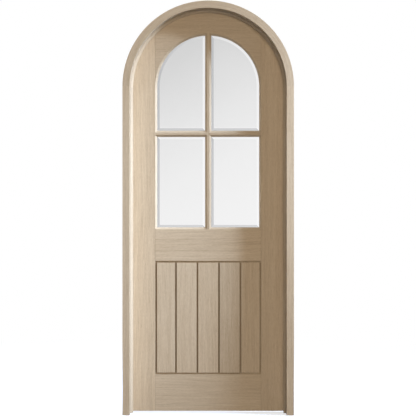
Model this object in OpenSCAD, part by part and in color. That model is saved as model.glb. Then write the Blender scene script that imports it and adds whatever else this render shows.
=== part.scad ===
// Round-headed oak door set: a leaf with four bevelled panes over a boarded panel,
// hung on three butt hinges in a round-headed lining with planted stops.
// The front faces -Y and +Z is up. The origin lies on the floor, under the middle of the overall box.

/* [Leaf] */
// Width of the leaf
leaf_w = 762; // [686:1:838]
// Height of the leaf at its crown
leaf_h = 1981; // [1900:1:2100]
// Thickness of the leaf
leaf_t = 35; // [35:1:44]
// Width of a stile face, up to its rail shoulder
stile_w = 119; // [105:1:130]
// Height of the bottom rail
bottom_rail_h = 181; // [150:1:220]
// Height of the boarded panel between its two rails
panel_h = 562; // [450:1:600]
// Height of the lock rail face
lock_rail_h = 157; // [130:1:190]
// Lift of the glazing arch centre above the leaf arch centre
arch_lift = 8; // [0:1:16]
// Height of the top rail's feet above the spring of the glazing arch
rail_foot = 40; // [32:1:55]

/* [Glazing] */
// Width of the splayed moulding round each pane
mould_w = 9.25; // [8:0.25:11]
// Depth of that splay below the face
mould_d = 8.5; // [6:0.5:10]
// Small square step between the face and the splay
mould_step = 1; // [0.5:0.25:2]
// Width of the flat on a glazing bar
bar_face = 12; // [10:0.5:16]
// Drop from the spring of the leaf arch to the middle of the cross bars
cross_bar_drop = 227; // [150:1:300]
// Depth from the face to the edge of the glass
glass_set = 12; // [11:0.5:14]
// Thickness of the glass in its middle
glass_t = 6; // [5:0.5:7]
// Thickness of the glass at its edge
glass_edge_t = 4; // [3:0.5:4.5]
// Width of the bevel that shows round each pane
bevel_w = 12; // [8:0.5:18]
// Clearance round the glass in its rebate
glass_gap = 1; // [0.5:0.25:1.5]
// Straight land on a bead, next to the glass
bead_land = 7; // [5:0.5:9]
// Flat left at the back of a bead
bead_flat = 1.25; // [1:0.25:2]
// Depth at which the beads stop short of the back of the leaf
bead_set = 0.5; // [0:0.25:1.5]
// Clearance between a bead and its rebate
bead_gap = 0.25; // [0.1:0.05:0.5]

/* [Panel] */
// Pitch of the three middle boards
board_pitch = 106.5; // [98:0.5:112]
// Width of the sunk groove round each board
groove_w = 8.5; // [6:0.5:11]
// Depth of that groove
groove_d = 8; // [5:0.5:9]
// Thickness of the board tongues
tongue_t = 9; // [7:0.5:11]
// Length of the board tongues
tongue_l = 9; // [7:0.5:12]
// Room beyond the end of a tongue
tongue_room = 1.5; // [1:0.25:3]
// Clearance between two boards, and on each side of a tongue
board_gap = 0.2; // [0.1:0.05:0.4]

/* [Joinery] */
// Thickness of the rail tenons
tenon_t = 12; // [10:0.5:15]
// Length of the lower rail tenons
tenon_l = 75; // [55:1:85]
// Shoulder left above and below a lower rail tenon
tenon_shoulder = 28; // [22:1:36]
// Length of the top rail tenons
head_tenon_l = 42; // [30:1:48]
// Height of the top rail tenons
head_tenon_h = 100; // [70:1:120]
// Height from the foot of the top rail to its tenons
head_tenon_rise = 18; // [12:1:30]
// Thickness of the stub tenons on the glazing bars
stub_t = 10; // [8:0.5:13]
// Width of those stub tenons
stub_w = 7; // [6:0.5:8]
// Length of those stub tenons
stub_l = 12; // [8:0.5:16]
// Length of the stub tenons where two bars cross
cross_stub_l = 3.5; // [2:0.25:4]
// Clearance on each side of a tenon
joint_gap = 0.2; // [0.1:0.05:0.4]
// Room beyond the end of a tenon
joint_room = 2; // [1:0.25:4]

/* [Lining] */
// Thickness of the lining
lining_t = 35; // [28:1:45]
// Depth of the lining from front to back
lining_depth = 133; // [120:1:155]
// Gap between the leaf and the lining
edge_gap = 3; // [2.5:0.25:4]
// Gap under the leaf
floor_gap = 8; // [5:1:15]
// Thickness of the planted stop
stop_t = 12; // [10:0.5:16]
// Depth of the planted stop
stop_depth = 24; // [16:0.5:35]
// Splay on the front edge of the stop
stop_splay = 11; // [6:0.5:11.5]
// Gap between the closed leaf and its stop
stop_gap = 1; // [0.5:0.25:2]
// Diameter of the dowels between the jambs and the head
dowel_d = 12; // [8:0.5:16]
// Length of those dowels
dowel_l = 80; // [50:1:100]
// Distance between the two dowels of one joint
dowel_pitch = 72; // [50:1:80]
// Clearance round a dowel
dowel_gap = 0.1; // [0.05:0.05:0.2]

/* [Hinges] */
// Height of a hinge
hinge_h = 102; // [76:1:127]
// Width of a hinge flap, from the pin to its edge
flap_w = 36; // [32:0.5:38]
// Thickness of a hinge flap
flap_t = 2.5; // [2:0.25:3]
// Diameter of the hinge knuckles
knuckle_d = 13; // [12:0.5:15]
// Diameter of the hinge pin
pin_d = 7; // [6:0.5:8]
// Radial clearance between the pin and the knuckles
pin_gap = 0.05; // [0.02:0.01:0.1]
// Distance of the pin behind the back of the leaf
pin_set = 7.5; // [7:0.25:9]
// Gap between two knuckles, and between a knuckle and the other flap
knuckle_gap = 0.4; // [0.3:0.05:0.6]
// Thickness of the button at each end of a pin
button_t = 2.5; // [2:0.25:4]
// Height of the lowest hinge's centre above the foot of the leaf
low_hinge_z = 276; // [250:1:320]
// Drop from the spring of the leaf arch to the highest hinge's centre
high_hinge_drop = 120; // [100:1:180]
// Clearance round a flap in its recess
flap_gap = 0.25; // [0.1:0.05:0.5]
// Diameter of the hinge screws
screw_d = 4; // [3.5:0.25:4.5]
// Diameter of a screw head
screw_head_d = 8; // [7:0.25:8.5]
// Length of the hinge screws
screw_l = 30; // [25:1:32]
// Radial clearance round a screw
screw_gap = 0.05; // [0.02:0.01:0.1]
// Distance of the outer screws from the ends of a flap
screw_end = 13; // [10:0.5:16]
// Distance of the screw rows either side of the middle of a flap's bearing
screw_stagger = 4; // [2:0.5:5]

/* [Hidden] */
oak = [0.78, 0.70, 0.60];
clear_glass = [0.88, 0.90, 0.90, 0.5];
brass = [0.72, 0.58, 0.33];
over = 1;
big_fn = 180;
small_fn = 48;

// Depths, from the front of the lining to the back of the knuckles.
overall_depth = lining_depth + pin_set + knuckle_d / 2;
front_y = -overall_depth / 2;
back_y = front_y + lining_depth;
face_y = back_y - leaf_t;
stop_back_y = face_y - stop_gap;
stop_front_y = stop_back_y - stop_depth;

// Plan and height of the leaf in its lining.
half_leaf = leaf_w / 2;
foot_z = floor_gap;
spring_z = floor_gap + leaf_h - half_leaf;
lining_r = half_leaf + edge_gap;
outer_r = lining_r + lining_t;
stop_r = lining_r - stop_t;

// Rail and glazing lines.
shoulder_x = half_leaf - stile_w;
sight_x = shoulder_x - mould_w;
bar_x = bar_face / 2;
bar_sight_x = bar_x + mould_w;
panel_z0 = foot_z + bottom_rail_h;
panel_z1 = panel_z0 + panel_h;
sill_z = panel_z1 + lock_rail_h;
sight_sill_z = sill_z + mould_w;
cross_z = spring_z - cross_bar_drop;
cross_lo = cross_z - bar_sight_x;
cross_hi = cross_z + bar_sight_x;
arch_z = spring_z + arch_lift;
foot_rail_z = arch_z + rail_foot;
crown_z = arch_z + sqrt(shoulder_x * shoulder_x - bar_x * bar_x);
crown_sight_z = arch_z + sqrt(sight_x * sight_x - bar_sight_x * bar_sight_x);
head_tenon_z = foot_rail_z + head_tenon_rise;

// Hinge line.
pin_x = -half_leaf - edge_gap / 2;
pin_y = back_y + pin_set;
knuckle_r = knuckle_d / 2;
knuckle_h = hinge_h / 5;
first_hinge_z = foot_z + low_hinge_z;
last_hinge_z = spring_z - high_hinge_drop;
hinge_z = [first_hinge_z, (first_hinge_z + last_hinge_z) / 2, last_hinge_z];
flap_y0 = pin_y - flap_w;
screw_mid_y = (flap_y0 + back_y) / 2;
screw_z = [for (i = [0 : 3]) screw_end + i * (hinge_h - 2 * screw_end) / 3 - hinge_h / 2];

// Boards run from joint to joint, counted from the hinge side.
board_joint = [-shoulder_x, -1.5 * board_pitch, -0.5 * board_pitch, 0.5 * board_pitch,
    1.5 * board_pitch, shoulder_x];

// Profiles round a pane: offset outwards from the sight line, and depth below the face.
aperture = [[mould_w, -over], [mould_w, mould_step], [0, mould_d], [0, glass_set],
    [mould_w, glass_set], [mould_w, leaf_t + over]];
glass_back = glass_set + glass_edge_t;
glass_profile = [[-bevel_w, glass_back - glass_t], [0, glass_set], [mould_w - glass_gap, glass_set],
    [mould_w - glass_gap, glass_back]];
bead_back = leaf_t - bead_set;
bead_outer = [[mould_w - bead_gap, glass_back], [mould_w - bead_gap, bead_back]];
bead_inner = [[0, glass_back - over], [0, glass_back + bead_land],
    [mould_w - bead_gap - bead_flat, bead_back], [mould_w - bead_gap - bead_flat, bead_back + over]];

function at_depth(p) = face_y + p[1];
function rev(v) = [for (i = [len(v) - 1 : -1 : 0]) v[i]];
function far_side(hi, prof) = [for (p = prof) [hi + p[0], at_depth(p)]];
function near_side(lo, prof) = [for (p = rev(prof)) [lo - p[0], at_depth(p)]];
function between(lo, hi, prof) = concat(far_side(hi, prof), near_side(lo, prof));
function beyond(lo, far, prof) = concat([[far, at_depth(prof[0])], [far, at_depth(rev(prof)[0])]],
    near_side(lo, prof));
function within(r, prof) = concat([[0, at_depth(prof[0])]], [for (p = prof) [r + p[0], at_depth(p)]],
    [[0, at_depth(rev(prof)[0])]]);
function mirrored(v) = [for (p = rev(v)) [-p[0], p[1]]];

// The mitre at the crown, from the rebate corner through the sight corner and on into the pane.
crown_run = [bar_sight_x - bar_x, crown_sight_z - crown_z];
function crown_at(t) = [bar_x + t * crown_run[0], crown_z + t * crown_run[1]];

// Prisms along each axis: points are [x, y] for up, [z, y] for across and [x, z] for through.
module up(points, z0, z1) {
    translate([0, 0, z0])
        linear_extrude(z1 - z0)
            polygon(points);
}

module across(points, x0, x1) {
    translate([x1, 0, 0])
        rotate([0, -90, 0])
            linear_extrude(x1 - x0)
                polygon(points);
}

module through(points, y0, y1) {
    translate([0, y1, 0])
        rotate([90, 0, 0])
            linear_extrude(y1 - y0)
                polygon(points);
}

// A half ring over a centre at height z, from points [radius, y].
module arch(points, z) {
    translate([0, 0, z])
        rotate([90, 0, 0])
            rotate_extrude(angle = 180, start = 0, $fn = big_fn)
                polygon([for (p = points) [p[0], -p[1]]]);
}

module box(x0, x1, y0, y1, z0, z1) {
    translate([x0, y0, z0])
        cube([x1 - x0, y1 - y0, z1 - z0]);
}

// Space of a lower right or upper right pane for one profile.
module lower_space(prof) {
    intersection() {
        up(between(bar_sight_x, sight_x, prof), sill_z - over, cross_z + over);
        across(between(sight_sill_z, cross_lo, prof), 0, half_leaf);
    }
}

module upper_space(prof) {
    intersection() {
        union() {
            arch(within(sight_x, prof), arch_z);
            up(between(-sight_x, sight_x, prof), cross_z - over, arch_z);
        }
        up(beyond(bar_sight_x, half_leaf, prof), cross_z - over, spring_z + half_leaf);
        across(beyond(cross_hi, spring_z + half_leaf, prof), 0, half_leaf);
    }
}

module right_apertures() {
    lower_space(aperture);
    upper_space(aperture);
}

module left_apertures() {
    mirror([1, 0, 0])
        right_apertures();
}

// The full leaf outline, cut to one region of [x, z] points.
module leaf_region(points) {
    translate([0, back_y, 0])
        rotate([90, 0, 0])
            linear_extrude(leaf_t)
                intersection() {
                    polygon(points);
                    union() {
                        translate([-half_leaf, foot_z])
                            square([leaf_w, spring_z - foot_z]);
                        translate([0, spring_z])
                            circle(r = half_leaf, $fn = big_fn);
                    }
                }
}

// Regions of the leaf, with mitres at 45 degrees through the moulding.
function stile_region() = [[half_leaf + over, foot_z - over], [shoulder_x, foot_z - over],
    [shoulder_x, sill_z], [sight_x - mould_w, sight_sill_z + mould_w],
    [sight_x - mould_w, cross_lo - mould_w], [shoulder_x, cross_z - bar_x],
    [shoulder_x, cross_z + bar_x], [sight_x - mould_w, cross_hi + mould_w],
    [sight_x - mould_w, foot_rail_z], [shoulder_x, foot_rail_z],
    [shoulder_x, spring_z + half_leaf], [half_leaf + over, spring_z + half_leaf]];
function bar_foot() = [[bar_x, sill_z], [bar_sight_x + mould_w, sight_sill_z + mould_w]];
function bar_notch() = [[bar_sight_x + mould_w, cross_lo - mould_w], [bar_x, cross_z - bar_x],
    [bar_x, cross_z + bar_x], [bar_sight_x + mould_w, cross_hi + mould_w]];
function bar_crown() = [crown_at(2), crown_at(0)];
function half_bar() = concat(bar_foot(), bar_notch(), bar_crown());
function half_lock_rail() = [[shoulder_x, panel_z1], [shoulder_x, sill_z],
    [sight_x - mould_w, sight_sill_z + mould_w], [bar_sight_x + mould_w, sight_sill_z + mould_w],
    [bar_x, sill_z]];
function half_top_rail() = [crown_at(0), crown_at(2), [crown_at(2)[0], foot_rail_z],
    [shoulder_x, foot_rail_z], [shoulder_x, spring_z + half_leaf]];
function cross_region() = [[bar_x, cross_z - bar_x], [bar_sight_x + mould_w, cross_lo - mould_w],
    [sight_x - mould_w, cross_lo - mould_w], [shoulder_x, cross_z - bar_x],
    [shoulder_x, cross_z + bar_x], [sight_x - mould_w, cross_hi + mould_w],
    [bar_sight_x + mould_w, cross_hi + mould_w], [bar_x, cross_z + bar_x]];

// Tenons and their mortises: grow is the clearance, room the space beyond the end.
module mid_box(x0, x1, t, z0, z1, grow) {
    y = face_y + leaf_t / 2;
    box(x0, x1, y - t / 2 - grow, y + t / 2 + grow, z0 - grow, z1 + grow);
}

module rail_tenon(z0, z1, grow, room) {
    x0 = shoulder_x - over;
    mid_box(x0, shoulder_x + tenon_l + room, tenon_t, z0 + tenon_shoulder, z1 - tenon_shoulder, grow);
}

module head_tenon(grow, room) {
    x0 = shoulder_x - over;
    z1 = head_tenon_z + head_tenon_h;
    mid_box(x0, shoulder_x + head_tenon_l + room, tenon_t, head_tenon_z, z1, grow);
}

// Stub tenons sit in the stem of a bar, behind the glass line.
stub_y = face_y + (glass_set + leaf_t) / 2;

module cross_stub(x0, x1, grow) {
    half = stub_w / 2 + grow;
    box(x0, x1, stub_y - stub_t / 2 - grow, stub_y + stub_t / 2 + grow, cross_z - half, cross_z + half);
}

module bar_stub(z0, z1, grow) {
    half = stub_w / 2 + grow;
    box(-half, half, stub_y - stub_t / 2 - grow, stub_y + stub_t / 2 + grow, z0, z1);
}

// Grooves for the board tongues in the rails and stiles.
groove_t = tongue_t + 2 * board_gap;
groove_l = tongue_l + tongue_room;

module stile_groove() {
    z0 = panel_z0 - groove_l;
    z1 = panel_z1 + groove_l;
    mid_box(shoulder_x - over, shoulder_x + groove_l, groove_t, z0, z1, 0);
}

module rail_groove(z0, z1) {
    mid_box(-shoulder_x - over, shoulder_x + over, groove_t, z0, z1, 0);
}

// Screws lie along X with their heads at x = 0 and their points towards -X.
module screw_places(z) {
    for (i = [0 : 3])
        translate([0, screw_mid_y + (i % 2 == 0 ? -screw_stagger : screw_stagger), z + screw_z[i]])
            children();
}

module screw_body(grow) {
    r = screw_d / 2 + grow;
    head_r = screw_head_d / 2 + grow;
    sink = head_r - r;
    tip = screw_d * 1.5;
    rotate([0, -90, 0])
        rotate_extrude($fn = small_fn)
            polygon([[0, 0], [head_r, 0], [r, sink], [r, screw_l - tip + grow], [0, screw_l + grow]]);
}

module screw() {
    slot = screw_head_d * 0.6;
    blade = screw_d * 0.22;
    difference() {
        screw_body(0);
        translate([0, 0, 0])
            cube([screw_d * 0.5, slot, blade], center = true);
        translate([0, 0, 0])
            cube([screw_d * 0.5, blade, slot], center = true);
    }
}

module frame_screw_holes() {
    for (z = hinge_z)
        translate([-lining_r, 0, 0])
            screw_places(z)
                screw_body(screw_gap);
}

module leaf_screw_holes() {
    for (z = hinge_z)
        translate([-half_leaf, 0, 0])
            screw_places(z)
                mirror([1, 0, 0])
                    screw_body(screw_gap);
}

module knuckle(z, i, r, grow) {
    translate([pin_x, pin_y, z - hinge_h / 2 + i * knuckle_h - grow])
        cylinder(r = r, h = knuckle_h + 2 * grow, $fn = small_fn);
}

module pin_bore(z) {
    translate([pin_x, pin_y, z - hinge_h / 2 - over])
        cylinder(d = pin_d + 2 * pin_gap, h = hinge_h + 2 * over, $fn = small_fn);
}

// One flap: its plate, its own knuckles, and room for the knuckles of the other flap.
module flap(z, x0, x1, own, other) {
    difference() {
        union() {
            box(x0, x1, flap_y0, pin_y, z - hinge_h / 2, z + hinge_h / 2);
            for (i = own)
                knuckle(z, i, knuckle_r, 0);
        }
        for (i = other)
            knuckle(z, i, knuckle_r + knuckle_gap, knuckle_gap / 2);
        pin_bore(z);
    }
}

module flap_recess(x0, x1) {
    for (z = hinge_z)
        box(x0, x1, flap_y0 - flap_gap, back_y + over, z - hinge_h / 2 - flap_gap,
            z + hinge_h / 2 + flap_gap);
}

module frame_flap(z) {
    color(brass)
        difference() {
            flap(z, -lining_r - flap_t, -lining_r, [0, 2, 4], [1, 3]);
            frame_screw_holes();
        }
}

module leaf_flap(z) {
    color(brass)
        difference() {
            flap(z, -half_leaf, -half_leaf + flap_t, [1, 3], [0, 2, 4]);
            leaf_screw_holes();
        }
}

module hinge_pin(z) {
    button_r = knuckle_r - 0.75;
    half = hinge_h / 2;
    color(brass)
        translate([pin_x, pin_y, z])
            rotate_extrude($fn = small_fn)
                polygon([[0, -half - button_t], [button_r * 0.55, -half - button_t],
                    [button_r, -half - button_t * 0.5], [button_r, -half], [pin_d / 2, -half],
                    [pin_d / 2, half], [button_r, half], [button_r, half + button_t * 0.5],
                    [button_r * 0.55, half + button_t], [0, half + button_t]]);
}

module low_frame_flap() {
    frame_flap(hinge_z[0]);
}

module middle_frame_flap() {
    frame_flap(hinge_z[1]);
}

module high_frame_flap() {
    frame_flap(hinge_z[2]);
}

module low_leaf_flap() {
    leaf_flap(hinge_z[0]);
}

module middle_leaf_flap() {
    leaf_flap(hinge_z[1]);
}

module high_leaf_flap() {
    leaf_flap(hinge_z[2]);
}

module low_hinge_pin() {
    hinge_pin(hinge_z[0]);
}

module middle_hinge_pin() {
    hinge_pin(hinge_z[1]);
}

module high_hinge_pin() {
    hinge_pin(hinge_z[2]);
}

module frame_hinge_screws() {
    color(brass)
        for (z = hinge_z)
            translate([-lining_r, 0, 0])
                screw_places(z)
                    screw();
}

module leaf_hinge_screws() {
    color(brass)
        for (z = hinge_z)
            translate([-half_leaf, 0, 0])
                screw_places(z)
                    mirror([1, 0, 0])
                        screw();
}

// The lining: two jambs, a half-round head, the dowels between them and the planted stops.
module dowel_places() {
    x = lining_r + lining_t / 2;
    y = front_y + lining_depth / 2;
    for (sx = [-x, x])
        for (sy = [-dowel_pitch / 2, dowel_pitch / 2])
            translate([sx, y + sy, spring_z])
                children();
}

module dowel(grow, room) {
    cylinder(d = dowel_d + 2 * grow, h = dowel_l + 2 * room, center = true, $fn = small_fn);
}

module head_dowels() {
    color(oak)
        dowel_places()
            dowel(0, 0);
}

module dowel_holes() {
    dowel_places()
        dowel(dowel_gap, joint_room);
}

module left_jamb() {
    color(oak)
        difference() {
            box(-outer_r, -lining_r, front_y, back_y, 0, spring_z);
            flap_recess(-lining_r - flap_t, -lining_r + over);
            frame_screw_holes();
            dowel_holes();
        }
}

module right_jamb() {
    color(oak)
        difference() {
            box(lining_r, outer_r, front_y, back_y, 0, spring_z);
            dowel_holes();
        }
}

module arched_head() {
    color(oak)
        difference() {
            arch([[lining_r, front_y], [outer_r, front_y], [outer_r, back_y], [lining_r, back_y]], spring_z);
            dowel_holes();
        }
}

// Section of the stop: radius or distance from the middle, and depth.
function stop_section() = [[lining_r, stop_front_y], [lining_r, stop_back_y], [stop_r, stop_back_y],
    [stop_r, stop_front_y + stop_splay], [stop_r + stop_splay, stop_front_y]];

module right_stop() {
    color(oak)
        up(stop_section(), 0, spring_z);
}

module left_stop() {
    color(oak)
        up(mirrored(stop_section()), 0, spring_z);
}

module arched_stop() {
    color(oak)
        arch(stop_section(), spring_z);
}

// The leaf: stiles, rails, bars.
module stile() {
    difference() {
        leaf_region(stile_region());
        right_apertures();
        stile_groove();
        rail_tenon(foot_z, panel_z0, joint_gap, joint_room);
        rail_tenon(panel_z1, sill_z, joint_gap, joint_room);
        head_tenon(joint_gap, joint_room);
        cross_stub(shoulder_x - over, shoulder_x + stub_l + joint_room, joint_gap);
    }
}

module lock_stile() {
    color(oak)
        stile();
}

module hinge_stile() {
    color(oak)
        difference() {
            mirror([1, 0, 0])
                stile();
            flap_recess(-half_leaf - over, -half_leaf + flap_t);
            leaf_screw_holes();
        }
}

module top_rail() {
    color(oak)
        difference() {
            union() {
                leaf_region(concat(half_top_rail(), mirrored(half_top_rail())));
                head_tenon(0, 0);
                mirror([1, 0, 0])
                    head_tenon(0, 0);
            }
            right_apertures();
            left_apertures();
            bar_stub(crown_z - over, crown_z + stub_l + joint_room, joint_gap);
        }
}

module lock_rail() {
    color(oak)
        difference() {
            union() {
                leaf_region(concat(half_lock_rail(), mirrored(half_lock_rail())));
                rail_tenon(panel_z1, sill_z, 0, 0);
                mirror([1, 0, 0])
                    rail_tenon(panel_z1, sill_z, 0, 0);
            }
            right_apertures();
            left_apertures();
            rail_groove(panel_z1 - over, panel_z1 + groove_l);
            bar_stub(sill_z - stub_l - joint_room, sill_z + over, joint_gap);
        }
}

module bottom_rail() {
    color(oak)
        difference() {
            union() {
                box(-shoulder_x, shoulder_x, face_y, back_y, foot_z, panel_z0);
                rail_tenon(foot_z, panel_z0, 0, 0);
                mirror([1, 0, 0])
                    rail_tenon(foot_z, panel_z0, 0, 0);
            }
            rail_groove(panel_z0 - groove_l, panel_z0 + over);
        }
}

module vertical_bar() {
    color(oak)
        difference() {
            union() {
                leaf_region(concat(half_bar(), mirrored(half_bar())));
                bar_stub(sill_z - stub_l, sill_z + over, 0);
                bar_stub(crown_z - over, crown_z + stub_l, 0);
            }
            right_apertures();
            left_apertures();
            cross_stub(bar_x - cross_stub_l - board_gap, bar_x + over, joint_gap);
            cross_stub(-bar_x - over, -bar_x + cross_stub_l + board_gap, joint_gap);
        }
}

module cross_bar() {
    color(oak)
        difference() {
            union() {
                leaf_region(cross_region());
                cross_stub(bar_x - cross_stub_l, bar_x + over, 0);
                cross_stub(shoulder_x - over, shoulder_x + stub_l, 0);
            }
            right_apertures();
        }
}

module right_cross_bar() {
    cross_bar();
}

module left_cross_bar() {
    mirror([1, 0, 0])
        cross_bar();
}

// Boards: a core with tongues, and a raised field on each face inside the sunk grooves.
module board(k) {
    first = k == 0;
    last = k == 4;
    x0 = board_joint[k] + (first ? 0 : board_gap / 2);
    x1 = board_joint[k + 1] - (last ? 0 : board_gap / 2);
    field_x0 = board_joint[k] + (first ? groove_w : groove_w / 2);
    field_x1 = board_joint[k + 1] - (last ? groove_w : groove_w / 2);
    core_t = leaf_t - 2 * groove_d;
    tongue_x0 = x0 - (first ? tongue_l : 0);
    color(oak)
        difference() {
            union() {
                mid_box(x0, x1, core_t, panel_z0, panel_z1, 0);
                mid_box(field_x0, field_x1, leaf_t, panel_z0 + groove_w, panel_z1 - groove_w, 0);
                mid_box(x0, x1, tongue_t, panel_z0 - tongue_l, panel_z1 + tongue_l, 0);
                mid_box(tongue_x0, x1 + tongue_l, tongue_t, panel_z0, panel_z1, 0);
            }
            if (!first)
                mid_box(x0 - over, x0 + groove_l, groove_t, panel_z0 - groove_l, panel_z1 + groove_l, 0);
        }
}

module board_1() {
    board(0);
}

module board_2() {
    board(1);
}

module board_3() {
    board(2);
}

module board_4() {
    board(3);
}

module board_5() {
    board(4);
}

// Panes, each bevelled round its front.
module lower_right_pane() {
    color(clear_glass)
        lower_space(glass_profile);
}

module lower_left_pane() {
    color(clear_glass)
        mirror([1, 0, 0])
            lower_space(glass_profile);
}

module upper_right_pane() {
    color(clear_glass)
        upper_space(glass_profile);
}

module upper_left_pane() {
    color(clear_glass)
        mirror([1, 0, 0])
            upper_space(glass_profile);
}

// Beads behind the glass, mitred at their corners.
bead_y0 = face_y + glass_back - over;
bead_y1 = back_y + over;

module lower_bead(points) {
    color(oak)
        intersection() {
            difference() {
                lower_space(bead_outer);
                lower_space(bead_inner);
            }
            through(points, bead_y0, bead_y1);
        }
}

module upper_bead(points) {
    color(oak)
        intersection() {
            difference() {
                upper_space(bead_outer);
                upper_space(bead_inner);
            }
            through(points, bead_y0, bead_y1);
        }
}

// Corners of a bead's region: out lies beyond the rebate and in lies over the glass.
bar_out = bar_x - over;
bar_in = bar_sight_x + mould_w;
side_out = shoulder_x + over;
side_in = sight_x - mould_w;
sill_out = sill_z - over;
sill_in = sight_sill_z + mould_w;
low_cross_out = cross_z - bar_x + over;
low_cross_in = cross_lo - mould_w;
high_cross_out = cross_z + bar_x - over;
high_cross_in = cross_hi + mould_w;
crown_out = crown_at(-over / mould_w);
crown_in = crown_at(2);

function lower_bottom() = [[bar_out, sill_out], [side_out, sill_out], [side_in, sill_in], [bar_in, sill_in]];
function lower_top() = [[bar_out, low_cross_out], [bar_in, low_cross_in], [side_in, low_cross_in],
    [side_out, low_cross_out]];
function lower_side() = [[side_out, sill_out], [side_out, low_cross_out], [side_in, low_cross_in],
    [side_in, sill_in]];
function lower_bar() = [[bar_out, sill_out], [bar_in, sill_in], [bar_in, low_cross_in],
    [bar_out, low_cross_out]];
function upper_bottom() = [[bar_out, high_cross_out], [side_out, high_cross_out], [side_in, high_cross_in],
    [bar_in, high_cross_in]];
function upper_side() = [[side_out, high_cross_out], [side_out, arch_z], [side_in, arch_z],
    [side_in, high_cross_in]];
function upper_arch() = [[side_out, arch_z], [side_out, crown_out[1] + mould_w],
    [crown_out[0], crown_out[1] + mould_w], crown_out, crown_in, [crown_in[0], arch_z]];
function upper_bar() = [[bar_out, high_cross_out], [bar_in, high_cross_in], crown_in, crown_out,
    [bar_out, crown_out[1]]];

module lower_right_bead_bottom() {
    lower_bead(lower_bottom());
}

module lower_right_bead_top() {
    lower_bead(lower_top());
}

module lower_right_bead_side() {
    lower_bead(lower_side());
}

module lower_right_bead_bar() {
    lower_bead(lower_bar());
}

module lower_left_bead_bottom() {
    mirror([1, 0, 0])
        lower_bead(lower_bottom());
}

module lower_left_bead_top() {
    mirror([1, 0, 0])
        lower_bead(lower_top());
}

module lower_left_bead_side() {
    mirror([1, 0, 0])
        lower_bead(lower_side());
}

module lower_left_bead_bar() {
    mirror([1, 0, 0])
        lower_bead(lower_bar());
}

module upper_right_bead_bottom() {
    upper_bead(upper_bottom());
}

module upper_right_bead_side() {
    upper_bead(upper_side());
}

module upper_right_bead_arch() {
    upper_bead(upper_arch());
}

module upper_right_bead_bar() {
    upper_bead(upper_bar());
}

module upper_left_bead_bottom() {
    mirror([1, 0, 0])
        upper_bead(upper_bottom());
}

module upper_left_bead_side() {
    mirror([1, 0, 0])
        upper_bead(upper_side());
}

module upper_left_bead_arch() {
    mirror([1, 0, 0])
        upper_bead(upper_arch());
}

module upper_left_bead_bar() {
    mirror([1, 0, 0])
        upper_bead(upper_bar());
}

left_jamb();
right_jamb();
arched_head();
left_stop();
right_stop();
arched_stop();
head_dowels();
low_frame_flap();
middle_frame_flap();
high_frame_flap();
low_hinge_pin();
middle_hinge_pin();
high_hinge_pin();
frame_hinge_screws();
hinge_stile();
lock_stile();
top_rail();
lock_rail();
bottom_rail();
board_1();
board_2();
board_3();
board_4();
board_5();
vertical_bar();
left_cross_bar();
right_cross_bar();
upper_left_pane();
upper_right_pane();
lower_left_pane();
lower_right_pane();
upper_left_bead_bottom();
upper_left_bead_side();
upper_left_bead_arch();
upper_left_bead_bar();
upper_right_bead_bottom();
upper_right_bead_side();
upper_right_bead_arch();
upper_right_bead_bar();
lower_left_bead_bottom();
lower_left_bead_top();
lower_left_bead_side();
lower_left_bead_bar();
lower_right_bead_bottom();
lower_right_bead_top();
lower_right_bead_side();
lower_right_bead_bar();
low_leaf_flap();
middle_leaf_flap();
high_leaf_flap();
leaf_hinge_screws();
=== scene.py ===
"""Looks of the arched oak door set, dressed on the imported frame."""

import math

import bpy
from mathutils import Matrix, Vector


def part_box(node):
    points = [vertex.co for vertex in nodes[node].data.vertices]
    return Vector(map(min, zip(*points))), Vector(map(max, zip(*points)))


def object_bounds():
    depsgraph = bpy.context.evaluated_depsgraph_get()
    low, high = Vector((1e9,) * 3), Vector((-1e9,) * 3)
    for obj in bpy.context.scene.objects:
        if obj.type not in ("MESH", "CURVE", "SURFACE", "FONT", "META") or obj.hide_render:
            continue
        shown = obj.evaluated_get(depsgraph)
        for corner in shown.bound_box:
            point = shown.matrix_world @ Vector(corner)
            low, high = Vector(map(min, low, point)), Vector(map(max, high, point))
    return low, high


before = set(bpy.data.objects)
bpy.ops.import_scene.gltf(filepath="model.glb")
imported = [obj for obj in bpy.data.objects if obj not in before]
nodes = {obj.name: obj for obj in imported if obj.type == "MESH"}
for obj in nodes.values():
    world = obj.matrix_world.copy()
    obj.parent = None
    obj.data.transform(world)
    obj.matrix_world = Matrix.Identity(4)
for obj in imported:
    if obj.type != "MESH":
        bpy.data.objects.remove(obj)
first_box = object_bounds()
scene = bpy.context.scene

# Places on the frame, in metres.
FRONT_Y = first_box[0][1]
SPRING_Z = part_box("left_jamb")[1][2]
PANE_TOP_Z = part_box("upper_left_pane")[1][2]
PANE_FOOT_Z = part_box("lower_left_pane")[0][2]
PANE_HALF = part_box("upper_right_pane")[1][0]
BOARD_FACES = (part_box("board_3")[0][1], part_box("board_3")[1][1])

# The rails meet the stiles here: the outer boards enter the stiles by their tongues.
TONGUE = 0.009
SHOULDER_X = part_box("board_5")[1][0] - TONGUE

# Grooves round the boards: painted shade in the recesses, the depths where it starts and is full, and what
# it leaves of the colour.
SHADE_START_DEPTH = 0.0008
FULL_SHADE_DEPTH = 0.003
SHADE_AND_JOINT_FILTER = (0.49, 0.45, 0.40, 1.0)
# The painted shade is lighter in the level grooves at the ends of the boards, which are this wide.
GROOVE_WIDTH = 0.0085
END_SHARE = 0.5
FIELD_TOP_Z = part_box("lock_rail")[0][2] - GROOVE_WIDTH
FIELD_FOOT_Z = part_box("bottom_rail")[1][2] + GROOVE_WIDTH
# The same dark colour draws a fine dark line in the joint between a rail and a stile.
JOINT_LINE = 0.0008

# The outer faces of the lining, eased edges included, lie within a margin of its full half width.
SAWN_MARGIN = 0.005
SAWN_FROM = first_box[1][0] - SAWN_MARGIN

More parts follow.
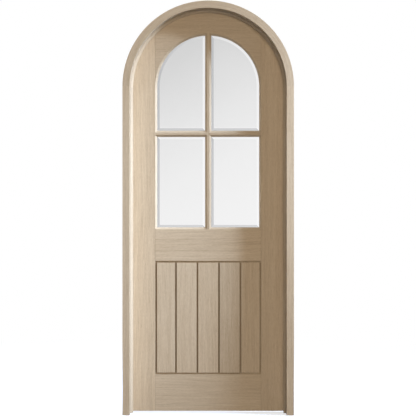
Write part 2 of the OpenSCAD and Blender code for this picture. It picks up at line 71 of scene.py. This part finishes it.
# Sanding: the gap that is welded first, the eased edge, the least angle that is eased, and the shading.
WELD_GAP = 0.00002
EASED_EDGE = 0.0009
EASED_STEPS = 2
SHARP_ANGLE = math.radians(28)
LARGE_FACE_WEIGHT = 60

# Oak: shades of the grain by their place on a ramp, and the colours of open pores and ray flecks.
OAK_SHADES = [(0.22, (0.452, 0.360, 0.258)), (0.42, (0.545, 0.447, 0.333)),
              (0.58, (0.596, 0.497, 0.378)), (0.80, (0.660, 0.565, 0.445))]
PORE_COLOUR = (0.330, 0.250, 0.170)
FLECK_COLOUR = (0.700, 0.610, 0.485)

# Layers of the grain: noise cells in a metre across, through and along it.
DRIFT = {"scales": (3.0, 3.0, 1.1), "detail": 1.0}
BROAD = {"scales": (10.0, 10.0, 0.6), "detail": 2.0}
GROWTH = {"scales": (70.0, 70.0, 1.2), "detail": 3.0, "roughness": 0.6}
FINE = {"scales": (380.0, 380.0, 10.0), "detail": 2.0}
FIBRE = {"scales": (420.0, 420.0, 75.0), "detail": 1.0}
PORES = {"scales": (1500.0, 1500.0, 38.0), "detail": 1.0}
RAYS = {"scales": (330.0, 330.0, 46.0), "detail": 1.0}
SAW_MARKS = {"scales": (6.0, 6.0, 420.0), "detail": 2.0}
# How far the drift bends the growth lines.
DRIFT_WIDTH = 0.05
# Each layer's share of the shade, and what is taken off their sum.
BROAD_SHARE = 0.40
GROWTH_SHARE = 0.50
FINE_SHARE = 0.75
FIBRE_SHARE = 0.36
SHADE_OFFSET = 0.505
# Where the noise of pores and rays starts to show, how fast it comes up and how strong it gets.
PORE_LIMIT = 0.58
PORE_GAIN = 5.0
PORE_SHARE = 0.5
FLECK_LIMIT = 0.60
FLECK_GAIN = 6.0
FLECK_SHARE = 0.35
# Relief and roughness of planed oak, and the shade, relief and roughness that the saw leaves.
FINE_HEIGHT = 0.5
PLANED_ROUGH = 0.42
GROWTH_ROUGH = 0.18
SAWN_SHADE = 0.70
MARK_SHADE = 0.16
MARK_HEIGHT = 0.4
SAWN_ROUGH = 0.3
# A face counts as sideways while the part of its normal toward the front or back is less than this.
SIDEWAYS = 0.5
# Pieces are cut from places this far apart in the tree.
SEED_STEP = (0.37, 0.19, 1.73)
# Round the arch, the angle counts as a length at this radius.
ARCH_RADIUS = 0.4

# Glass: painted shades of the plate by their place on a ramp from the dark top left to the pale foot, and
# the painted shade of bevels turned from the light.
PAINTED_PLATE_SHADES = [(0.0, (0.60, 0.60, 0.60)), (0.13, (0.655, 0.655, 0.656)), (0.28, (0.72, 0.72, 0.721)),
               (0.45, (0.793, 0.793, 0.794)), (0.65, (0.852, 0.852, 0.853)), (1.0, (0.90, 0.90, 0.901))]
BEVEL_PAINTED_SHADE = (0.37, 0.375, 0.39, 1.0)
WHITE = (1.0, 1.0, 1.0, 1.0)
RIPPLE = {"scales": (5.0, 5.0, 5.0), "detail": 1.0}
SMEAR = {"scales": (40.0, 40.0, 14.0), "detail": 2.0}
# Shares of the way across, the way down and the ripple in the painted shade of the plate.
ACROSS_SHARE = 0.2
DOWN_SHARE = 0.8
RIPPLE_SHARE = 0.06
SMEAR_ROUGH = 0.02
# How fast a slope turns a bevel to painted grey shade or to a painted white highlight.
BEVEL_SHADE_GAIN = -6.6
BEVEL_HIGHLIGHT_GAIN = 6.5
# How much an upward slope counts against a sideways one: below the spring, and this far above it.
RISE_BELOW = 0.75
RISE_IN_ARCH = 0.35
RISE_CHANGE = 0.08

# Brass: shades by their place on a ramp, clouds of them and rubbing marks that lie up or round.
BRASS_SHADES = [(0.25, (0.50, 0.345, 0.130)), (0.55, (0.63, 0.455, 0.195)), (0.80, (0.70, 0.530, 0.255))]
CLOUD = {"scales": (28.0, 28.0, 28.0), "detail": 3.0}
RUBBED = {"up": {"scales": (900.0, 900.0, 14.0), "detail": 2.0},
          "round": {"scales": (160.0, 160.0, 1600.0), "detail": 2.0}}
BRASS_ROUGH = 0.2
RUBBED_ROUGH = 0.2

# Floor: its edges, its drop below the feet, its colour for bounced light, and its colour and glow as seen.
FLOOR_SIDE = 5.0
FLOOR_FRONT_Y = -9.0
FLOOR_BACK_Y = 5.0
FLOOR_DROP = 0.0002
FLOOR_BOUNCE = (0.06, 0.058, 0.056, 1.0)
FLOOR_SEEN = (0.50, 0.60, 0.79, 1.0)
FLOOR_GLOW = 0.62
# It fades into the white background between these distances from the part.
FADE_FROM = 1.0
FADE_TO = 4.0

# Light: colours of the lamps and of the sky, and the way the sky grows brighter.
WARM = (1.0, 0.835, 0.645)
DAYLIGHT = (0.685, 0.82, 1.0)
NEUTRAL = (0.90, 0.92, 0.95)
SKY_TINT = (0.32, 0.268, 0.202)
SKY_LEAN = (0.4, 0.6, 0.25)

# Camera: in front, level at half height and a millimetre to the left, with its scale on the front plane.
PICTURE_WIDTH = 416
MM_A_PIXEL = 4.885
SENSOR_MM = 36.0
DISTANCE = 7.0
CAMERA_X = -0.001
CAMERA_Z = 1.0132


class Graph:
    """The node tree of a new material or world."""

    def __init__(self, owner):
        self.owner = owner
        owner.use_nodes = True
        self.tree = owner.node_tree
        self.tree.nodes.clear()

    def add(self, kind, inputs=None, **settings):
        """Add a node; inputs that are sockets are linked, the others are set."""
        made = self.tree.nodes.new(kind)
        for key, value in settings.items():
            setattr(made, key, value)
        for key, value in (inputs or {}).items():
            if isinstance(value, bpy.types.NodeSocket):
                self.tree.links.new(value, made.inputs[key])
            else:
                made.inputs[key].default_value = value
        return made

    def math(self, operation, first, second=0.0, third=None, clamp=False):
        values = {0: first, 1: second}
        if third is not None:
            values[2] = third
        return self.add("ShaderNodeMath", values, operation=operation, use_clamp=clamp).outputs[0]

    def above(self, value, limit, gain):
        """0 up to a limit, then rising to 1."""
        return self.math("MULTIPLY", self.math("SUBTRACT", value, limit, clamp=True), gain, clamp=True)

    def spread(self, value, low, high, start, end, **settings):
        """Turn the range from low to high into the one from start to end."""
        values = {0: value, 1: low, 2: high, 3: start, 4: end}
        return self.add("ShaderNodeMapRange", values, **settings).outputs[0]

    def parts(self, vector):
        return self.add("ShaderNodeSeparateXYZ", {0: vector}).outputs

    def joined(self, x, y=0.0, z=0.0):
        return self.add("ShaderNodeCombineXYZ", {0: x, 1: y, 2: z}).outputs[0]

    def vector(self, operation, first, second):
        return self.add("ShaderNodeVectorMath", {0: first, 1: second}, operation=operation).outputs[0]

    def length(self, vector):
        return self.add("ShaderNodeVectorMath", {0: vector}, operation="LENGTH").outputs["Value"]

    def noise(self, place, scales, detail, roughness=0.5):
        values = {"Vector": self.vector("MULTIPLY", place, scales), "Scale": 1.0, "Detail": detail,
                  "Roughness": roughness}
        return self.add("ShaderNodeTexNoise", values).outputs[0]

    def ramp(self, factor, stops):
        made = self.add("ShaderNodeValToRGB", {0: factor})
        bands = made.color_ramp.elements
        while len(bands) < len(stops):
            bands.new(0.5)
        for band, (place, colour) in zip(bands, stops):
            band.position = place
            band.color = (*colour, 1.0)
        return made.outputs[0]

    def blend(self, factor, first, second, kind="MIX"):
        values = {0: factor, 6: first, 7: second}
        return self.add("ShaderNodeMix", values, data_type="RGBA", blend_type=kind).outputs[2]

    def dimmed(self, factor, colour, filtered):
        """Where the factor is 1, only what a filter leaves of the colour."""
        return self.blend(factor, colour, self.blend(1.0, colour, filtered, "MULTIPLY"))

    def seen(self):
        """1 for rays that see a surface, also in glass and metal, and 0 for its light on others."""
        rays = self.add("ShaderNodeLightPath").outputs
        unbent = self.math("ADD", rays["Is Camera Ray"], rays["Is Glossy Ray"])
        return self.math("ADD", unbent, rays["Is Transmission Ray"], clamp=True)

    def finish(self, surface, output="ShaderNodeOutputMaterial"):
        self.add(output, {"Surface": surface})
        return self.owner


def new_material(name):
    return Graph(bpy.data.materials.new(name))


def toned(shades, tone):
    """The stops of a ramp, made darker or lighter."""
    return [(place, tuple(channel * tone for channel in colour)) for place, colour in shades]


def toned_colour(colour, tone):
    """A colour for a socket, made darker or lighter."""
    return (*(channel * tone for channel in colour), 1.0)


def in_the_grain(g, place, run, seed):
    """The distance across the grain, and the point across, through and along it in the tree."""
    x, y, z = g.parts(place)
    if run == "up":
        side, along = x, z
    elif run == "level":
        side, along = z, x
    else:
        rise = g.math("SUBTRACT", z, SPRING_Z)
        side = g.length(g.joined(x, z=rise))
        along = g.math("MULTIPLY", g.math("ARCTAN2", x, rise), ARCH_RADIUS)
    start = tuple(step * seed for step in SEED_STEP)
    return side, g.vector("ADD", g.joined(side, y, along), start)


def planed(g, point, tone):
    """Colour, height and roughness of planed oak."""
    # A slow drift bends the growth lines a little.
    drift = g.math("MULTIPLY_ADD", g.noise(point, **DRIFT), DRIFT_WIDTH, -DRIFT_WIDTH / 2)
    bent = g.vector("ADD", point, g.joined(drift))
    growth = g.noise(bent, **GROWTH)
    fine = g.noise(bent, **FINE)
    shade = g.math("MULTIPLY", g.noise(point, **BROAD), BROAD_SHARE)
    shade = g.math("MULTIPLY_ADD", growth, GROWTH_SHARE, shade)
    shade = g.math("MULTIPLY_ADD", fine, FINE_SHARE, shade)
    shade = g.math("MULTIPLY_ADD", g.noise(bent, **FIBRE), FIBRE_SHARE, shade)
    colour = g.ramp(g.math("SUBTRACT", shade, SHADE_OFFSET), toned(OAK_SHADES, tone))
    pit = g.above(g.noise(bent, **PORES), PORE_LIMIT, PORE_GAIN)
    colour = g.blend(g.math("MULTIPLY", pit, PORE_SHARE), colour, toned_colour(PORE_COLOUR, tone))
    fleck = g.above(g.noise(point, **RAYS), FLECK_LIMIT, FLECK_GAIN)
    colour = g.blend(g.math("MULTIPLY", fleck, FLECK_SHARE), colour, toned_colour(FLECK_COLOUR, tone))
    height = g.math("SUBTRACT", g.math("MULTIPLY", fine, FINE_HEIGHT), pit)
    rough = g.math("MULTIPLY_ADD", growth, GROWTH_ROUGH, PLANED_ROUGH)
    return colour, height, rough


def painted_groove_shade(g, place, groove_shade_share):
    """How much painted shade darkens a groove: most in the upright grooves, none on the faces of a board.
    """
    parts = g.parts(place)
    middle = (BOARD_FACES[0] + BOARD_FACES[1]) / 2
    face = BOARD_FACES[1] - middle
    offset = g.math("ABSOLUTE", g.math("SUBTRACT", parts["Y"], middle))
    deep = g.spread(offset, face - FULL_SHADE_DEPTH, face - SHADE_START_DEPTH, groove_shade_share, 0.0)
    over = g.math("GREATER_THAN", parts["Z"], FIELD_TOP_Z)
    under = g.math("LESS_THAN", parts["Z"], FIELD_FOOT_Z)
    ends = g.math("ADD", over, under)
    return g.math("MULTIPLY", deep, g.math("MULTIPLY_ADD", ends, END_SHARE - 1.0, 1.0))


def oak(name, run, seed, tone=1.0, sawn_from=None, groove_shade_share=0.0, shoulder=None):
    """Straight-grained oak with growth lines, pores and a satin finish; run is up, level or round.

    Beyond sawn_from, across the grain, the face is left from the saw: duller, rough and marked.
    With a share of painted shade, from 0 to 1, the grooves round a board are darkened as if in shadow.
    With a shoulder, the finish leaves a fine dark line where a rail meets its stile.
    """
    g = new_material(name)
    coords = g.add("ShaderNodeTexCoord").outputs
    side, point = in_the_grain(g, coords["Object"], run, seed)
    colour, height, rough = planed(g, point, tone)
    if sawn_from:
        facing = g.parts(coords["Normal"])["Y"]
        edgewise = g.math("LESS_THAN", g.math("ABSOLUTE", facing), SIDEWAYS)
        outer = g.math("GREATER_THAN", g.math("ABSOLUTE", side), sawn_from)
        sawn = g.math("MULTIPLY", outer, edgewise)
        marks = g.noise(point, **SAW_MARKS)
        dull = g.math("MULTIPLY_ADD", marks, MARK_SHADE, SAWN_SHADE)
        colour = g.dimmed(sawn, colour, g.joined(dull, dull, dull))
        height = g.math("MULTIPLY_ADD", g.math("MULTIPLY", marks, sawn), MARK_HEIGHT, height)
        rough = g.math("MULTIPLY_ADD", sawn, SAWN_ROUGH, rough)
    # Painted shade in the grooves round a board.
    if groove_shade_share:
        colour = g.dimmed(painted_groove_shade(g, coords["Object"], groove_shade_share), colour, SHADE_AND_JOINT_FILTER)
    if shoulder:
        x = g.parts(coords["Object"])["X"]
        joint = g.math("GREATER_THAN", g.math("ABSOLUTE", x), shoulder - JOINT_LINE)
        colour = g.dimmed(joint, colour, SHADE_AND_JOINT_FILTER)
    bump = g.add("ShaderNodeBump", {"Strength": 0.3, "Distance": 0.0003, "Height": height}).outputs[0]
    wood = g.add("ShaderNodeBsdfPrincipled", {"Base Color": colour, "Roughness": rough, "Normal": bump,
                                              "Specular IOR Level": 0.32})
    return g.finish(wood.outputs[0])


def glass():
    """Clear plate with ground bevels, in painted light: the plate is a painted shade, darker toward the
    top left, and the bevels facing up and right get a painted highlight while the others go to painted
    grey shade.

    In the arch an upward slope counts less, so that the painted grey shade runs further up its left side.
    """
    g = new_material("bevelled_glass")
    coords = g.add("ShaderNodeTexCoord").outputs
    place = g.parts(coords["Object"])
    slope = g.parts(coords["Normal"])
    # The plate is painted shade, darker toward the top left and paler toward the foot.
    height = g.spread(place["Z"], PANE_FOOT_Z, PANE_TOP_Z, 0.0, 1.0)
    across = g.spread(place["X"], -PANE_HALF, PANE_HALF, 0.0, 1.0)
    down = g.math("MULTIPLY_ADD", height, -DOWN_SHARE, DOWN_SHARE)
    fall = g.math("MULTIPLY_ADD", across, ACROSS_SHARE, down)
    ripple = g.math("SUBTRACT", g.noise(coords["Object"], **RIPPLE), 0.5)
    plate = g.ramp(g.math("MULTIPLY_ADD", ripple, RIPPLE_SHARE, fall), PAINTED_PLATE_SHADES)
    # Bevels leaning right or up get a painted highlight, the others painted shade.
    rise = g.spread(place["Z"], SPRING_Z, SPRING_Z + RISE_CHANGE, RISE_BELOW, RISE_IN_ARCH)
    lean = g.math("MULTIPLY_ADD", slope["Z"], rise, slope["X"])
    dull = g.math("MULTIPLY", lean, BEVEL_SHADE_GAIN, clamp=True)
    highlight = g.math("MULTIPLY", lean, BEVEL_HIGHLIGHT_GAIN, clamp=True)
    colour = g.blend(highlight, g.blend(dull, plate, BEVEL_PAINTED_SHADE), WHITE)
    rough = g.math("MULTIPLY", g.noise(coords["Object"], **SMEAR), SMEAR_ROUGH)
    pane = g.add("ShaderNodeBsdfPrincipled", {"Base Color": colour, "Roughness": rough, "IOR": 1.5,
                                              "Transmission Weight": 1.0})
    return g.finish(pane.outputs[0])


def brass(name, run, tone):
    """Drawn brass with fine rubbing marks; run is the way the marks lie, up or round the pin."""
    g = new_material(name)
    place = g.add("ShaderNodeTexCoord").outputs["Object"]
    marks = g.noise(place, **RUBBED[run])
    colour = g.ramp(g.noise(place, **CLOUD), toned(BRASS_SHADES, tone))
    rough = g.math("MULTIPLY_ADD", marks, RUBBED_ROUGH, BRASS_ROUGH)
    bump = g.add("ShaderNodeBump", {"Strength": 0.2, "Distance": 0.0001, "Height": marks}).outputs[0]
    metal = g.add("ShaderNodeBsdfPrincipled", {"Base Color": colour, "Metallic": 1.0, "Roughness": rough,
                                               "Normal": bump})
    return g.finish(metal.outputs[0])


def dress(node, material):
    """Give a piece its one material."""
    mesh = nodes[node].data
    mesh.materials.clear()
    mesh.materials.append(material)


def soften(node):
    """Ease the sharp edges of a wooden piece, as sanding does."""
    piece = nodes[node]
    weld = piece.modifiers.new("weld", "WELD")
    weld.merge_threshold = WELD_GAP
    ease = piece.modifiers.new("ease", "BEVEL")
    ease.width = EASED_EDGE
    ease.segments = EASED_STEPS
    ease.limit_method = "ANGLE"
    ease.angle_limit = SHARP_ANGLE
    ease.use_clamp_overlap = True
    shade = piece.modifiers.new("shade", "WEIGHTED_NORMAL")
    shade.weight = LARGE_FACE_WEIGHT


# Wood: name, way of the grain, seed, tone. The tone is partly the piece's own shade of oak and partly
# painted light and shade: board_4, the top rail, the bars and the left stop are set darker where shadow
# falls on them or their lit faces came out too bright, and some boards and rails lighter.
WOOD = [
    ("left_jamb", "up", 1, 1.0), ("right_jamb", "up", 2, 1.02), ("arched_head", "round", 3, 0.96),
    ("left_stop", "up", 4, 0.92), ("right_stop", "up", 5, 0.99), ("arched_stop", "round", 6, 0.99),
    ("hinge_stile", "up", 7, 1.065), ("lock_stile", "up", 8, 0.975), ("top_rail", "level", 9, 0.94),
    ("lock_rail", "level", 10, 1.03), ("bottom_rail", "level", 11, 1.005),
    ("board_1", "up", 12, 1.015), ("board_2", "up", 13, 1.035), ("board_3", "up", 14, 1.05),
    ("board_4", "up", 15, 0.95), ("board_5", "up", 16, 1.0),
    ("vertical_bar", "up", 17, 0.945), ("left_cross_bar", "level", 18, 0.95),
    ("right_cross_bar", "level", 19, 0.96), ("head_dowels", "up", 20, 0.95),
]
# Pieces whose outer faces are left from the saw.
SAWN = ("left_jamb", "right_jamb", "arched_head")
# How much painted shade darkens the grooves of each board; the last board, which stands in shadow, gets
# less.
GROOVE_SHADE_SHARES = {"board_1": 1.0, "board_2": 1.0, "board_3": 1.0, "board_4": 1.0, "board_5": 0.6}
for node, run, seed, tone in WOOD:
    sawn_from = SAWN_FROM if node in SAWN else None
    groove_shade_share = GROOVE_SHADE_SHARES.get(node, 0.0)
    shoulder = SHOULDER_X if node.endswith("_rail") else None
    dress(node, oak("oak_" + node, run, seed, tone, sawn_from, groove_shade_share, shoulder))
    if node != "head_dowels":
        soften(node)

bead_up = oak("oak_bead_up", "up", 21, 1.0)
bead_level = oak("oak_bead_level", "level", 22, 0.99)
bead_round = oak("oak_bead_round", "round", 23, 0.99)
for node in nodes:
    if "_bead_" in node:
        kind = node.rsplit("_", 1)[1]
        dress(node, {"side": bead_up, "bar": bead_up, "arch": bead_round}.get(kind, bead_level))

clear = glass()
for node in nodes:
    if node.endswith("_pane"):
        dress(node, clear)

flap_brass = brass("brass_flap", "up", 1.0)
pin_brass = brass("brass_pin", "round", 1.05)
screw_brass = brass("brass_screw", "round", 0.93)
for node in nodes:
    if node.endswith("_flap"):
        dress(node, flap_brass)
    elif node.endswith("_hinge_pin"):
        dress(node, pin_brass)
    elif node.endswith("_hinge_screws"):
        dress(node, screw_brass)


def stage_floor():
    """A pale floor that throws little light and fades into the background."""
    corners = [(-FLOOR_SIDE, FLOOR_FRONT_Y, 0.0), (FLOOR_SIDE, FLOOR_FRONT_Y, 0.0),
               (FLOOR_SIDE, FLOOR_BACK_Y, 0.0), (-FLOOR_SIDE, FLOOR_BACK_Y, 0.0)]
    mesh = bpy.data.meshes.new("floor")
    mesh.from_pydata(corners, [], [(0, 1, 2, 3)])
    floor = bpy.data.objects.new("floor", mesh)
    floor.location.z = -FLOOR_DROP
    scene.collection.objects.link(floor)
    g = new_material("pale_floor")
    seen = g.seen()
    pale = g.blend(seen, FLOOR_BOUNCE, FLOOR_SEEN)
    matt = g.add("ShaderNodeBsdfDiffuse", {"Color": pale}).outputs[0]
    lift = g.add("ShaderNodeEmission", {"Strength": g.math("MULTIPLY", seen, FLOOR_GLOW)}).outputs[0]
    near = g.add("ShaderNodeAddShader", {0: matt, 1: lift}).outputs[0]
    reach = g.length(g.add("ShaderNodeTexCoord").outputs["Object"])
    fade = g.spread(reach, FADE_FROM, FADE_TO, 0.0, 1.0, interpolation_type="SMOOTHSTEP")
    white = g.add("ShaderNodeEmission", {"Strength": 1.0}).outputs[0]
    far = g.math("MULTIPLY", fade, seen)
    surface = g.add("ShaderNodeMixShader", {0: far, 1: near, 2: white}).outputs[0]
    mesh.materials.append(g.finish(surface))


def sky():
    """White where it is seen, in glass and metal too, and a softer slanted level as light."""
    g = Graph(bpy.data.worlds.new("studio"))
    way = g.add("ShaderNodeTexCoord").outputs["Generated"]
    slant = g.add("ShaderNodeVectorMath", {0: way, 1: SKY_LEAN}, operation="DOT_PRODUCT").outputs["Value"]
    share = g.math("ADD", slant, 1.0)
    tint = g.add("ShaderNodeVectorMath", {0: SKY_TINT, "Scale": share}, operation="SCALE").outputs[0]
    back = g.add("ShaderNodeBackground", {"Color": g.blend(g.seen(), tint, WHITE)}).outputs[0]
    scene.world = g.finish(back, "ShaderNodeOutputWorld")


def placed(name, data, toward, distance, aim_height):
    """Put a lamp at a distance from the point it aims at, unseen by the camera."""
    made = bpy.data.objects.new(name, data)
    made.location = Vector((0.0, 0.0, aim_height)) + distance * Vector(toward).normalized()
    made.rotation_euler = Vector(toward).to_track_quat("Z", "Y").to_euler()
    made.visible_camera = False
    scene.collection.objects.link(made)
    return made


def disc_lamp(name, width, watts, colour, spread, **place):
    """A soft round panel; its spread is in degrees."""
    data = bpy.data.lights.new(name, "AREA")
    data.shape = "DISK"
    data.size = width
    data.energy = watts
    data.color = colour
    data.spread = math.radians(spread)
    return placed(name, data, **place)


def spot_lamp(name, width, watts, colour, cone, **place):
    """A lamp whose light fades out toward the edge of its cone, in degrees."""
    data = bpy.data.lights.new(name, "SPOT")
    data.shadow_soft_size = width / 2
    data.energy = watts
    data.color = colour
    data.spot_size = math.radians(cone)
    data.spot_blend = 1.0
    return placed(name, data, **place)


stage_floor()
sky()
fill = disc_lamp("fill", width=2.5, watts=270.0, colour=WARM, spread=180,
                 toward=(0.14, -1.0, 0.2), distance=8.5, aim_height=1.0)
fill.visible_glossy = False
fill.visible_transmission = False
# The key and the side lamp together throw the soft shadow of the right jamb and the arch on the leaf.
spot_lamp("key", width=0.8, watts=2600.0, colour=DAYLIGHT, cone=15.5,
          toward=(2.44, -1.0, 1.5), distance=7.5, aim_height=1.12)
spot_lamp("side", width=1.5, watts=2920.0, colour=DAYLIGHT, cone=40.0,
          toward=(4.0, -1.0, 1.8), distance=7.5, aim_height=1.0)
disc_lamp("rear", width=2.4, watts=250.0, colour=NEUTRAL, spread=150,
          toward=(-2.0, 1.6, 1.5), distance=6.0, aim_height=1.1)

camera = bpy.data.cameras.new("camera")
camera.sensor_width = SENSOR_MM
camera.lens = SENSOR_MM * DISTANCE / (PICTURE_WIDTH * MM_A_PIXEL / 1000)
viewer = bpy.data.objects.new("camera", camera)
viewer.location = (CAMERA_X, FRONT_Y - DISTANCE, CAMERA_Z)
viewer.rotation_euler = (math.radians(90), 0.0, 0.0)
scene.collection.objects.link(viewer)
scene.camera = viewer

scene.view_settings.view_transform = "Standard"
